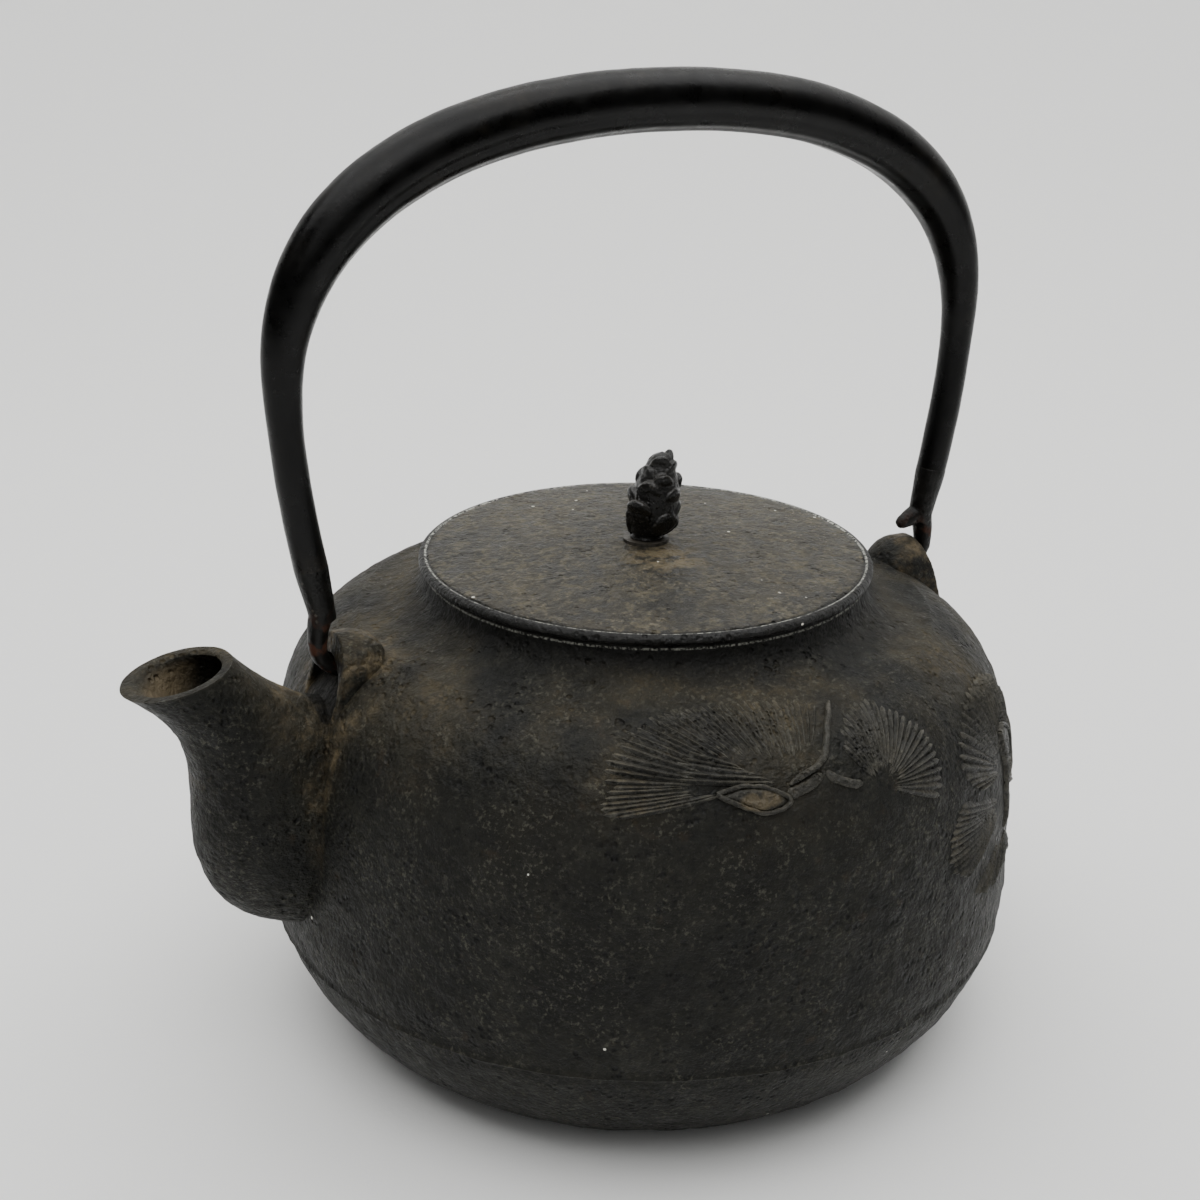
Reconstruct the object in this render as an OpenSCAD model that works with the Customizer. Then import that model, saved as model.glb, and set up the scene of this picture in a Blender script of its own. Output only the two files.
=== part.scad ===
// Cast iron kettle-shaped teapot with a hooked swing handle and a lift-off lid.
// Origin: centre of the flat base. +Z up. The spout points along -X.

/* [Vessel] */
// Largest diameter of the belly
body_d = 182.4; // [180:0.2:184]
// Diameter of the flat base
base_d = 126; // [118:1:132]
// Height of the widest place
belly_z = 41; // [39:1:45]
// Height of the faint ring where the shoulder ends and the neck begins
shoulder_z = 103; // [102.6:0.1:103.4]
// Diameter of that ring
shoulder_d = 136.4; // [135:0.2:137]
// Height of the collar that carries the lid
collar_z = 114; // [113.6:0.1:114.4]
// Outer diameter of the collar
collar_d = 105.6; // [104.6:0.2:106.4]
// Inner diameter of the mouth
mouth_d = 98; // [97.6:0.1:98.4]
// Thickness of the cast walls
wall = 2.8; // [2.5:0.1:3.6]
// Thickness of the floor
floor_t = 3.4; // [3:0.1:5]

/* [Spout] */
// Half width of the spout where it grows out of the belly
spout_root_r = 15; // [14:0.25:16]
// Half width of the spout at its mouth
spout_mouth_r = 11.4; // [11:0.1:12]
// Thickness of the spout wall
spout_wall = 2.8; // [2.4:0.1:3]
// Radius of the passage through the vessel wall
passage_r = 10; // [8:0.5:11]

/* [Lugs] */
// Height of the handle's swing axis
pivot_z = 101.2; // [101.1:0.05:101.3]
// Outer radius of a lug, seen along the swing axis
lug_r = 9.2; // [8.8:0.1:9.3]
// Radius of the pocket in a lug
pocket_r = 8; // [7.6:0.1:8.1]

/* [Handle] */
// Height of the middle of the grip
grip_z = 220.5; // [216:0.5:225]
// Half of the span between the legs at their widest
leg_x = 88; // [87.6:0.1:88.4]
// Radius of the grip
grip_r = 6.95; // [6.4:0.05:7.2]
// Radius of a leg
leg_r = 3.8; // [3.5:0.05:4]
// Radius of a leg at its foot, where the hook begins
foot_r = 2.9; // [2.8:0.05:3.2]
// Thickness of the sheet that the handle is rolled from
sheet_t = 1.5; // [1.2:0.1:1.8]
// Radius of the hook pin
pin_r = 2; // [1.8:0.1:2.2]

/* [Lid] */
// Diameter of the lid
lid_d = 108; // [107:0.5:109]
// Thickness of the lid plate
lid_t = 2; // [1.8:0.1:2.4]
// Rise of the lid from its rim to its middle
lid_rise = 2.7; // [2.5:0.1:3.2]
// Outer radius of the locating skirt
skirt_r = 48.3; // [47.8:0.1:48.5]
// Depth of the skirt below the rim
skirt_h = 8; // [6:0.5:9]

/* [Knob] */
// Height of the pine cone above its seat
knob_h = 20.8; // [19:0.2:23]
// Radius of the cone at its widest
knob_r = 6.3; // [5.8:0.1:6.8]
// Radius of the stem that passes through the lid
stem_r = 2.45; // [2.3:0.05:2.6]

/* [Hidden] */
$fn = 96;

iron = [0.10, 0.09, 0.08];
lacquer = [0.04, 0.04, 0.04];
bare_iron = [0.22, 0.19, 0.16];
rust = [0.24, 0.16, 0.10];

body_r = body_d / 2;
base_r = base_d / 2;
shoulder_r = shoulder_d / 2;
collar_r = collar_d / 2;
mouth_r = mouth_d / 2;
steps = 12;

stem_gap = 0.05;
seat_r = 5.4;
seat_t = 0.8;
washer_r = 4.6;
washer_t = 1;
boss_r = 7;
head_r = 3.6;
head_t = 1.2;

lid_rim_z = collar_z + lid_t;
lid_top_z = lid_rim_z + lid_rise;
seat_top_z = lid_top_z + seat_t;

// The leg becomes solid at this height
hook_top_z = 124;
// The tongue hangs this far out, clear of the lug's slanted face
tongue_x = 83.3;
face_top_x = 78.5;
face_slope = 0.268;

// ---- curves ----
function bez(p, t) = pow(1 - t, 3) * p[0] + 3 * t * pow(1 - t, 2) * p[1]
    + 3 * t * t * (1 - t) * p[2] + pow(t, 3) * p[3];
function curve(p, n = steps) = [for (i = [0 : n - 1]) bez(p, i / n)];
function ease(t) = let (u = max(0, min(1, t))) u * u * (3 - 2 * u);
function flat(lists) = [for (list = lists) for (item = list) item];

// ---- vessel ----
// Outer outline from the base edge up to the collar, as radius and height
outer_line = concat(
    curve([[base_r, 0], [base_r + 15, 2.6], [body_r + 0.7, belly_z - 18], [body_r, belly_z]]),
    curve([[body_r, belly_z], [body_r - 1.5, 66], [body_r + 1.2, 96], [shoulder_r, shoulder_z]]),
    curve([[shoulder_r, shoulder_z], [shoulder_r - 10, shoulder_z + 2.6],
        [collar_r + 0.4, collar_z - 7], [collar_r, collar_z - 2]]),
    [[collar_r, collar_z - 2], [collar_r, collar_z]]);

// Inner outline from the mouth down to the floor
inner_line = concat(
    [[mouth_r, collar_z], [mouth_r, collar_z - 7]],
    curve([[mouth_r, collar_z - 7], [mouth_r + 1, shoulder_z + 0.4],
        [shoulder_r - 10, shoulder_z - wall + 2], [shoulder_r - 2, shoulder_z - wall]]),
    curve([[shoulder_r - 2, shoulder_z - wall], [body_r - wall, 95 - wall],
        [body_r - wall - 1.5, 66], [body_r - wall, belly_z]]),
    curve([[body_r - wall, belly_z], [body_r - wall, belly_z - 16],
        [base_r + 14 - wall, floor_t + 2], [base_r - wall, floor_t]]),
    [[base_r - wall, floor_t]]);

module vessel_solid() {
    rotate_extrude() polygon(concat([[0, 0]], outer_line, [[0, collar_z]]));
}

module vessel() {
    color(iron) difference() {
        rotate_extrude() polygon(concat([[0, 0]], outer_line, inner_line, [[0, floor_t]]));
        translate([-body_r - 5, 0, spout_hole_z]) rotate([0, 90, 0])
            cylinder(r = passage_r, h = 22);
    }
}

// ---- spout ----
spout_hole_z = 66;
spout_rings = 22;
spout_sides = 32;
// The edge of the spout away from the vessel, from root to mouth, as x and z
far_low = [[-78, 38.2], [-101, 37.6], [-113, 49.5], [-113, 67]];
far_high = [[-113, 67], [-113, 81], [-110.5, 91.5], [-126.4, 102.9]];
// The edge next to the vessel
near = [[-78, 93], [-87, 93], [-96, 100.5], [-102.4, 108]];

function far_edge(s) = s < 0.5 ? bez(far_low, 2 * s) : bez(far_high, 2 * s - 1);
function near_edge(s) = bez(near, pow(s, 2.2));
function spout_half_width(s) =
    spout_root_r + (spout_mouth_r - spout_root_r) * ease((s - 0.45) / 0.4);
function spout_ring(s, inset) = let (
        far = far_edge(s),
        near_p = near_edge(s),
        mid = (far + near_p) / 2,
        half = (far - near_p) / 2,
        reach = 1 - inset / norm(half),
        width = spout_half_width(s) - inset)
    [for (k = [0 : spout_sides - 1]) let (a = 360 * k / spout_sides)
        [mid[0] + half[0] * reach * cos(a), width * sin(a), mid[1] + half[1] * reach * cos(a)]];

module spout() {
    color(iron) difference() {
        tube(flat([for (i = [0 : spout_rings]) spout_ring(i / spout_rings, 0)]),
            flat([for (i = [0 : spout_rings]) spout_ring(i / spout_rings, spout_wall)]),
            spout_rings, spout_sides);
        vessel_solid();
    }
}

// A hollow tube between an outer and an inner set of rings of points
module tube(outside, inside, rings, sides) {
    count = len(outside);
    function at(i, k) = i * sides + k % sides;
    skin = [for (i = [0 : rings - 1]) for (k = [0 : sides - 1])
        [at(i, k), at(i, k + 1), at(i + 1, k + 1), at(i + 1, k)]];
    bore = [for (i = [0 : rings - 1]) for (k = [0 : sides - 1])
        [count + at(i, k), count + at(i + 1, k), count + at(i + 1, k + 1), count + at(i, k + 1)]];
    start = [for (k = [0 : sides - 1])
        [at(0, k), count + at(0, k), count + at(0, k + 1), at(0, k + 1)]];
    end = [for (k = [0 : sides - 1])
        [at(rings, k), at(rings, k + 1), count + at(rings, k + 1), count + at(rings, k)]];
    polyhedron(concat(outside, inside), concat(skin, bore, start, end), convexity = 6);
}

// ---- lugs: hoods whose pocket opens outward, drawn on the +X side ----
lug_back_x = 66.5;
lug_z = pivot_z - 1.8;
pocket_z = pivot_z - 5.4;
lug_foot_drop = 9.5;
lug_flare = 1;
lug_dome_x = 75.5;
pocket_x = 75;

module lug() {
    reach = 90;
    color(iron) difference() {
        union() {
            translate([0, 0, lug_z]) rotate([0, 90, 0]) rotate_extrude()
                polygon(concat([[0, lug_back_x]],
                    [for (i = [1 : steps]) let (a = 90 * i / steps)
                        [lug_r * sin(a), lug_dome_x - (lug_dome_x - lug_back_x) * cos(a)]],
                    [[lug_r, reach], [0, reach]]));
            // The side walls spread a little on their way down to the shoulder
            translate([lug_dome_x, 0, lug_z]) rotate([90, 0, 90]) linear_extrude(reach - lug_dome_x)
                polygon([[-lug_r, 0], [-lug_r - lug_flare, -lug_foot_drop],
                    [lug_r + lug_flare, -lug_foot_drop], [lug_r, 0]]);
        }
        translate([pocket_x, 0, pocket_z]) rotate([0, 90, 0]) cylinder(r = pocket_r, h = 20);
        translate([pocket_x, -pocket_r, pocket_z - 12]) cube([20, 2 * pocket_r, 12]);
        rotate([90, 0, 0]) translate([0, 0, -20]) linear_extrude(40)
            polygon([[face_top_x, lug_z + lug_r], [face_top_x + 40 * face_slope, lug_z + lug_r - 40],
                [120, lug_z - 30], [120, lug_z + 30],
                [face_top_x - 20 * face_slope, lug_z + lug_r + 20]]);
        vessel_solid();
    }
}

module lug_front() {
    mirror([1, 0, 0]) lug();
}

module lug_rear() {
    lug();
}

// ---- handle: a rolled sheet tube, its swelling grip running down into thin legs ----
handle_sides = 24;
leg_line = [[80.6, 110], [83.8, 127], [leg_x, 145], [leg_x, 165]];
bend_line = [[leg_x, 165], [leg_x, grip_z - 21.5], [58, grip_z], [0, grip_z]];
cut_t = 0.29;
leg_steps = 8;
bend_steps = 22;

half_line = concat([for (i = [0 : leg_steps - 1]) bez(leg_line, cut_t + (1 - cut_t) * i / leg_steps)],
    curve(bend_line, bend_steps));
last = len(half_line) - 1;
handle_line = concat(half_line, [[0, grip_z]],
    [for (i = [last : -1 : 0]) [-half_line[i][0], half_line[i][1]]]);

function handle_radius(z) = leg_r + (grip_r - leg_r) * ease((z - 152) / 58);
function along(line, i) = let (a = line[max(0, i - 1)], b = line[min(len(line) - 1, i + 1)])
    (b - a) / norm(b - a);
function path_ring(line, i, r) = let (d = along(line, i), p = line[i])
    [for (k = [0 : handle_sides - 1]) let (a = 360 * k / handle_sides)
        [p[0] - d[1] * r * cos(a), r * sin(a), p[1] + d[0] * r * cos(a)]];

module handle() {
    rings = len(handle_line) - 1;
    color(lacquer) tube(
        flat([for (i = [0 : rings]) path_ring(handle_line, i, handle_radius(handle_line[i][1]))]),
        flat([for (i = [0 : rings])
            path_ring(handle_line, i, handle_radius(handle_line[i][1]) - sheet_t)]),
        rings, handle_sides);
}

// ---- hooks: the solid ends of the handle, drawn on the +X side ----
hook_steps = 4;
hook_line = [for (i = [0 : hook_steps]) bez(leg_line, 0.06 + (cut_t - 0.06) * i / hook_steps)];

module ball(x, z, r) {
    translate([x, 0, z]) sphere(r = r, $fn = 32);
}

// The rear hook has a short prong, where its bar was split before bending
module hook(prong = false) {
    pin_back_x = 78;
    pin_front_x = 82.4;
    color(bare_iron) union() {
        solid_sweep(hook_line, [for (i = [0 : hook_steps]) foot_r + (leg_r - foot_r) * i / hook_steps]);
        hull() {
            ball(81.2, 114.5, foot_r);
            ball(tongue_x, 109.5, 2.3);
        }
        if (prong) hull() {
            ball(81, 114, 2.7);
            ball(75.8, 112.2, 1.9);
        }
        hull() {
            ball(tongue_x, 109.5, 2.3);
            ball(tongue_x, 104, pin_r);
        }
        hull() {
            ball(tongue_x, 104, pin_r);
            ball(pin_front_x, pivot_z, pin_r);
        }
        translate([pin_back_x, 0, pivot_z]) rotate([0, 90, 0])
            cylinder(r = pin_r, h = pin_front_x - pin_back_x);
        translate([pin_back_x, 0, pivot_z]) sphere(r = pin_r);
    }
}

// A solid bar swept along a line, closed at both ends
module solid_sweep(line, radii) {
    rings = len(line) - 1;
    sides = handle_sides;
    points = flat([for (i = [0 : rings]) path_ring(line, i, radii[i])]);
    function at(i, k) = i * sides + k % sides;
    skin = [for (i = [0 : rings - 1]) for (k = [0 : sides - 1])
        [at(i, k), at(i, k + 1), at(i + 1, k + 1), at(i + 1, k)]];
    start = [for (k = [sides - 1 : -1 : 0]) at(0, k)];
    end = [for (k = [0 : sides - 1]) at(rings, k)];
    polyhedron(points, concat(skin, [start, end]), convexity = 4);
}

module handle_hook_front() {
    mirror([1, 0, 0]) hook();
}

module handle_hook_rear() {
    hook(prong = true);
}

// ---- lid ----
module lid() {
    lid_r = lid_d / 2;
    edge = 0.7;
    color(iron) difference() {
        rotate_extrude() polygon(concat(
            [[0, lid_top_z], [boss_r, lid_top_z]],
            [for (i = [1 : steps]) let (t = i / steps)
                [boss_r + (lid_r - edge - boss_r) * t, lid_rim_z + lid_rise * (1 - t * t)]],
            [[lid_r, lid_rim_z - edge], [lid_r, collar_z + 0.5], [lid_r - 0.5, collar_z],
                [skirt_r, collar_z], [skirt_r, collar_z - skirt_h],
                [skirt_r - 2, collar_z - skirt_h], [skirt_r - 2.4, collar_z]],
            [for (i = [steps - 1 : -1 : 1]) let (t = i / steps)
                [boss_r + (skirt_r - 2.4 - boss_r) * t, collar_z + lid_rise * (1 - t * t)]],
            [[boss_r, lid_top_z - lid_t], [0, lid_top_z - lid_t]]));
        translate([0, 0, collar_z - 5]) cylinder(r = stem_r + stem_gap, h = 20);
    }
}

// ---- knob: a pine cone on a stem that is peened over under the lid ----
tiers = 6;
cone_foot_r = 4.3;

function cone_r(t) = knob_r * pow(sin(180 * pow(0.1 + 0.9 * t, 0.8)), 0.55);

module knob() {
    head_top_z = lid_top_z - lid_t - stem_gap - washer_t;
    tier_h = (knob_h - 2) / tiers;
    color(iron) union() {
        rotate_extrude() polygon(concat(
            [[0, seat_top_z], [cone_foot_r, seat_top_z], [cone_foot_r - 0.6, seat_top_z + 2]],
            flat([for (i = [0 : tiers - 1]) let (z = seat_top_z + 2 + i * tier_h, r = cone_r(i / tiers))
                [[r + 0.1, z + 0.3 * tier_h], [r, z + 0.8 * tier_h], [r - 0.9, z + tier_h]]]),
            [[0, seat_top_z + knob_h]]));
        translate([0, 0, head_top_z - head_t])
            cylinder(r = stem_r, h = seat_top_z + 1 - head_top_z + head_t);
        translate([0, 0, head_top_z - head_t]) cylinder(r = head_r, h = head_t);
    }
}

module ring(outer_r, inner_r, h) {
    difference() {
        cylinder(r = outer_r, h = h);
        translate([0, 0, -1]) cylinder(r = inner_r, h = h + 2);
    }
}

module knob_seat() {
    color(bare_iron) translate([0, 0, lid_top_z]) ring(seat_r, stem_r + stem_gap, seat_t);
}

module knob_washer() {
    color(rust) translate([0, 0, lid_top_z - lid_t - stem_gap - washer_t])
        ring(washer_r, stem_r, washer_t);
}

vessel();
spout();
lug_front();
lug_rear();
handle();
handle_hook_front();
handle_hook_rear();
lid();
knob();
knob_seat();
knob_washer();
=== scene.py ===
import bpy
import random
from math import atan2, cos, exp, hypot, pi, radians, sin
from mathutils import Matrix, Vector


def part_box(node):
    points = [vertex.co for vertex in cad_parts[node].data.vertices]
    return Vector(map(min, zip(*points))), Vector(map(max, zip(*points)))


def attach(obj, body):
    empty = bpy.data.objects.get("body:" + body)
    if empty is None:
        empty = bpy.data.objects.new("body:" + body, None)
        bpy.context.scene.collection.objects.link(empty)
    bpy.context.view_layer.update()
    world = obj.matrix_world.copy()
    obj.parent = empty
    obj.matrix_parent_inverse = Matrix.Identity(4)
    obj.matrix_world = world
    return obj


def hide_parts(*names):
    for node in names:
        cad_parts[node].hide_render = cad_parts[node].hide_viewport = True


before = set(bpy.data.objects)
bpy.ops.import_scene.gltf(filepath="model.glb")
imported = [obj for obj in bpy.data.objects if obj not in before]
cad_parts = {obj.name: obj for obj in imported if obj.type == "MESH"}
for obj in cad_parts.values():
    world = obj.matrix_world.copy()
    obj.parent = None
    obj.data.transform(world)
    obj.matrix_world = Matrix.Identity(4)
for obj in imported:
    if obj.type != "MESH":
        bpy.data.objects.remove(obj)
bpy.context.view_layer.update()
mm = 0.001
print("frame loaded with", len(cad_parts), "nodes")


def clearAll():
    if bpy.context.object and bpy.context.object.mode != "OBJECT":
        bpy.ops.object.mode_set(mode="OBJECT")
    bpy.ops.object.select_all(action="DESELECT")


def pick(*objs):  # the last one becomes active
    clearAll()
    for obj in objs:
        obj.select_set(True)
    bpy.context.view_layer.objects.active = objs[-1]


def editAll(obj):
    pick(obj)
    bpy.ops.object.mode_set(mode="EDIT")
    bpy.ops.mesh.select_mode(type="VERT")
    bpy.ops.mesh.select_all(action="SELECT")


def leaveEdit():
    bpy.ops.object.mode_set(mode="OBJECT")


def applyMods(obj):
    pick(obj)
    for mod in list(obj.modifiers):
        bpy.ops.object.modifier_apply(modifier=mod.name)


def freeze(obj):
    pick(obj)
    bpy.ops.object.transform_apply(location=True, rotation=True, scale=True)


def tidyMesh(obj):
    editAll(obj)
    bpy.ops.mesh.remove_doubles(threshold=0.00001)
    bpy.ops.mesh.normals_make_consistent(inside=False)
    leaveEdit()


def smooth(obj, angle=50):
    pick(obj)
    bpy.ops.object.shade_smooth_by_angle(angle=radians(angle))


def joinAll(objs, name):
    pick(*objs)
    if len(objs) > 1:
        bpy.ops.object.join()
    obj = bpy.context.object
    obj.name = name
    return obj


def copyOf(obj):
    twin = obj.copy()
    twin.data = obj.data.copy()
    bpy.context.scene.collection.objects.link(twin)
    return twin


def subtract(obj, cutter):
    mod = obj.modifiers.new("cut", "BOOLEAN")
    mod.operation = "DIFFERENCE"
    mod.solver = "EXACT"
    mod.object = cutter
    applyMods(obj)
    bpy.data.objects.remove(cutter)


def remesh(obj, size, softening):  # one skin over joined parts, with its edges worn round
    mod = obj.modifiers.new("skin", "REMESH")
    mod.mode = "VOXEL"
    mod.voxel_size = size * mm
    soft = obj.modifiers.new("soften", "SMOOTH")
    soft.factor = 0.5
    soft.iterations = softening
    applyMods(obj)


def roughen(obj, layers, weight=None):  # real unevenness of the iron: (lump size, height) in mm
    group = ""
    if weight:
        group = "rough"
        made = obj.vertex_groups.new(name=group)
        for vert in obj.data.vertices:
            made.add([vert.index], weight(vert.co / mm), "REPLACE")
    for index, (size, height) in enumerate(layers):
        cloud = bpy.data.textures.new(obj.name + "Lumps" + str(index), "CLOUDS")
        cloud.noise_scale = size * mm
        cloud.noise_depth = 2
        mod = obj.modifiers.new("lumps", "DISPLACE")
        mod.texture = cloud
        mod.texture_coords = "LOCAL"
        mod.strength = height * mm
        mod.mid_level = 0.5
        mod.vertex_group = group
    applyMods(obj)


def settle(obj, name, body, slot, material, *nodes):
    clearAll()
    obj.name = name
    obj.data.name = name
    obj.data.materials.clear()
    obj.data.materials.append(material)
    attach(obj, body)
    if nodes:
        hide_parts(*nodes)
    print("made", name, "with", len(obj.data.polygons), "faces")


def bez(p, t):
    k = 1 - t
    return tuple(k ** 3 * a + 3 * t * k * k * b + 3 * t * t * k * c + t ** 3 * d for a, b, c, d in zip(*p))


def curve(p, count):
    return [bez(p, i / count) for i in range(count)]


def ease(t):
    t = max(0.0, min(1.0, t))
    return t * t * (3 - 2 * t)


def bump(x, width):  # a round hump, 1 at its middle
    return exp(-(x / width) ** 2)


def drawLine(points, name):  # a chain of edges in the XZ plane, extruded from point to point, in mm
    clearAll()
    bpy.ops.mesh.primitive_plane_add(size=mm)
    obj = bpy.context.object
    obj.name = name
    bpy.ops.object.mode_set(mode="EDIT")
    bpy.ops.mesh.merge(type="CENTER")
    x, z = points[0]
    bpy.ops.transform.translate(value=(x * mm, 0, z * mm))
    for nextX, nextZ in points[1:]:
        bpy.ops.mesh.extrude_region_move(
            TRANSFORM_OT_translate={"value": ((nextX - x) * mm, 0, (nextZ - z) * mm)})
        x, z = nextX, nextZ
    leaveEdit()
    return obj


def spinRound(points, name, steps):
    obj = drawLine(points, name)
    editAll(obj)
    bpy.ops.mesh.spin(steps=steps, angle=2 * pi, center=(0, 0, 0), axis=(0, 0, 1))
    leaveEdit()
    tidyMesh(obj)
    return obj


# A straight tube is extruded first, then each of its points goes to place(ring, angle)
def tube(name, rings, sides, place, closed=True):
    clearAll()
    bpy.ops.mesh.primitive_circle_add(vertices=sides, radius=1, fill_type="NGON" if closed else "NOTHING")
    obj = bpy.context.object
    obj.name = name
    bpy.ops.object.mode_set(mode="EDIT")
    for _ in range(rings):
        bpy.ops.mesh.extrude_region_move(TRANSFORM_OT_translate={"value": (0, 0, 1)})
    leaveEdit()
    for vert in obj.data.vertices:
        spot = place(round(vert.co.z), atan2(vert.co.y, vert.co.x))
        vert.co = Vector(spot) * mm
    tidyMesh(obj)
    return obj


def bar(name, line, radii, sides=20, flat=(1, 1)):  # a rod along (x, z) points in the handle's plane
    def place(ring, angle):
        x, z = line[ring]
        before = line[max(0, ring - 1)]
        after = line[min(len(line) - 1, ring + 1)]
        dx, dz = after[0] - before[0], after[1] - before[1]
        size = hypot(dx, dz)
        r = radii[ring]
        out = r * flat[0] * cos(angle)
        return (x + dz / size * out, r * flat[1] * sin(angle), z - dx / size * out)
    return tube(name, len(line) - 1, sides, place)


def mirrorX(obj):
    for vert in obj.data.vertices:
        vert.co.x = -vert.co.x
    tidyMesh(obj)


# Node helpers: settings are the node's own options, inputs are sockets or values by name
def add(tree, kind, settings=None, inputs=None):
    node = tree.nodes.new("ShaderNode" + kind)
    for key, value in (settings or {}).items():
        setattr(node, key, value)
    for key, value in (inputs or {}).items():
        if isinstance(value, bpy.types.NodeSocket):
            tree.links.new(value, node.inputs[key])
        else:
            node.inputs[key].default_value = value
    return node


def calc(tree, operation, *terms, clamp=False):
    node = add(tree, "Math", {"operation": operation, "use_clamp": clamp}, dict(enumerate(terms)))
    return node.outputs[0]


def times(tree, first, *rest):
    for term in rest:
        first = calc(tree, "MULTIPLY", first, term)
    return first


def slope(tree, value, low, high):  # 0 below low, 1 above high
    return add(tree, "MapRange", {"interpolation_type": "SMOOTHSTEP"},
        {"Value": value, "From Min": low, "From Max": high}).outputs[0]


def blend(tree, factor, first, second):
    return add(tree, "Mix", {"data_type": "RGBA"}, {0: factor, 6: first, 7: second}).outputs[2]


def noise(tree, place, scale, detail=4.0, rough=0.55):
    return add(tree, "TexNoise", {}, {"Vector": place, "Scale": scale, "Detail": detail,
        "Roughness": rough}).outputs[0]


def newGroup(name, inputs, outputs):
    tree = bpy.data.node_groups.new(name, "ShaderNodeTree")
    for label, kind, value in inputs:
        made = tree.interface.new_socket(name=label, in_out="INPUT", socket_type="NodeSocket" + kind)
        if value is not None:
            made.default_value = value
    for label in outputs:
        tree.interface.new_socket(name=label, in_out="OUTPUT", socket_type="NodeSocketFloat")
    return tree, tree.nodes.new("NodeGroupInput").outputs, tree.nodes.new("NodeGroupOutput")


def place(tree, group, **inputs):
    return add(tree, "Group", {"node_tree": group},
        {key[0].upper() + key[1:]: value for key, value in inputs.items()}).outputs


def makeGrain():  # sand-cast skin: fine grit, round lumps and open pits
    tree, given, out = newGroup("ironGrain", [("Place", "Vector", None), ("Grit", "Float", 900.0),
        ("Lump", "Float", 300.0), ("Pit", "Float", 0.5)], ["Height", "Pits"])
    grit = noise(tree, given["Place"], given["Grit"], 3.0, 0.65)
    lumps = noise(tree, given["Place"], given["Lump"], 3.0, 0.5)
    cells = add(tree, "TexVoronoi", {"feature": "SMOOTH_F1"},
        {"Vector": given["Place"], "Scale": calc(tree, "MULTIPLY", given["Lump"], 1.4), "Smoothness": 0.4})
    sparse = slope(tree, noise(tree, given["Place"], 120.0, 2.0), 0.45, 0.7)
    pits = times(tree, calc(tree, "SUBTRACT", 1.0, slope(tree, cells.outputs[0], 0.12, 0.42)), sparse)
    body = calc(tree, "ADD", times(tree, grit, 0.45), times(tree, lumps, 0.75))
    height = calc(tree, "SUBTRACT", body, times(tree, pits, given["Pit"]))
    tree.links.new(height, out.inputs["Height"])
    tree.links.new(pits, out.inputs["Pits"])
    return tree


def makeDust():  # pale dust that lies on upward faces and gathers in the hollows of the skin
    tree, given, out = newGroup("oldDust", [("Place", "Vector", None), ("Height", "Float", 0.5),
        ("Cover", "Float", 0.5), ("Patch", "Float", 60.0)], ["Dust"])
    up = add(tree, "SeparateXYZ", {}, {0: add(tree, "NewGeometry").outputs["Normal"]}).outputs[2]
    lying = slope(tree, up, 0.1, 0.95)
    patches = slope(tree, noise(tree, given["Place"], given["Patch"], 5.0, 0.62), 0.36, 0.66)
    hollow = slope(tree, given["Height"], 0.66, 0.42)
    part = times(tree, lying, patches, calc(tree, "ADD", times(tree, hollow, 0.7), 0.3))
    tree.links.new(calc(tree, "MULTIPLY", part, given["Cover"], clamp=True), out.inputs["Dust"])
    return tree


def makeWear():  # edges rubbed to paler iron
    tree, given, out = newGroup("edgeWear", [("Place", "Vector", None), ("Reach", "Float", 0.06),
        ("Strength", "Float", 0.6)], ["Wear"])
    edge = add(tree, "NewGeometry").outputs["Pointiness"]
    ridge = slope(tree, edge, 0.51, calc(tree, "ADD", 0.52, given["Reach"]))
    broken = slope(tree, noise(tree, given["Place"], 700.0, 3.0), 0.3, 0.62)
    tree.links.new(times(tree, ridge, broken, given["Strength"]), out.inputs["Wear"])
    return tree


def makeFlecks():  # pale mineral specks in loose clusters
    tree, given, out = newGroup("paleFlecks", [("Place", "Vector", None), ("Spread", "Float", 260.0),
        ("Size", "Float", 0.12), ("Share", "Float", 0.06)], ["Flecks"])
    cells = add(tree, "TexVoronoi", {}, {"Vector": given["Place"], "Scale": given["Spread"]})
    near = calc(tree, "LESS_THAN", cells.outputs["Distance"], given["Size"])
    chance = add(tree, "SeparateColor", {}, {0: cells.outputs["Color"]}).outputs[0]
    cluster = slope(tree, noise(tree, given["Place"], 45.0, 2.0), 0.5, 0.62)
    share = times(tree, given["Share"], calc(tree, "ADD", cluster, 0.15))
    tree.links.new(times(tree, near, calc(tree, "LESS_THAN", chance, share)), out.inputs["Flecks"])
    return tree


grainGroup = makeGrain()
dustGroup = makeDust()
wearGroup = makeWear()
fleckGroup = makeFlecks()

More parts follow.
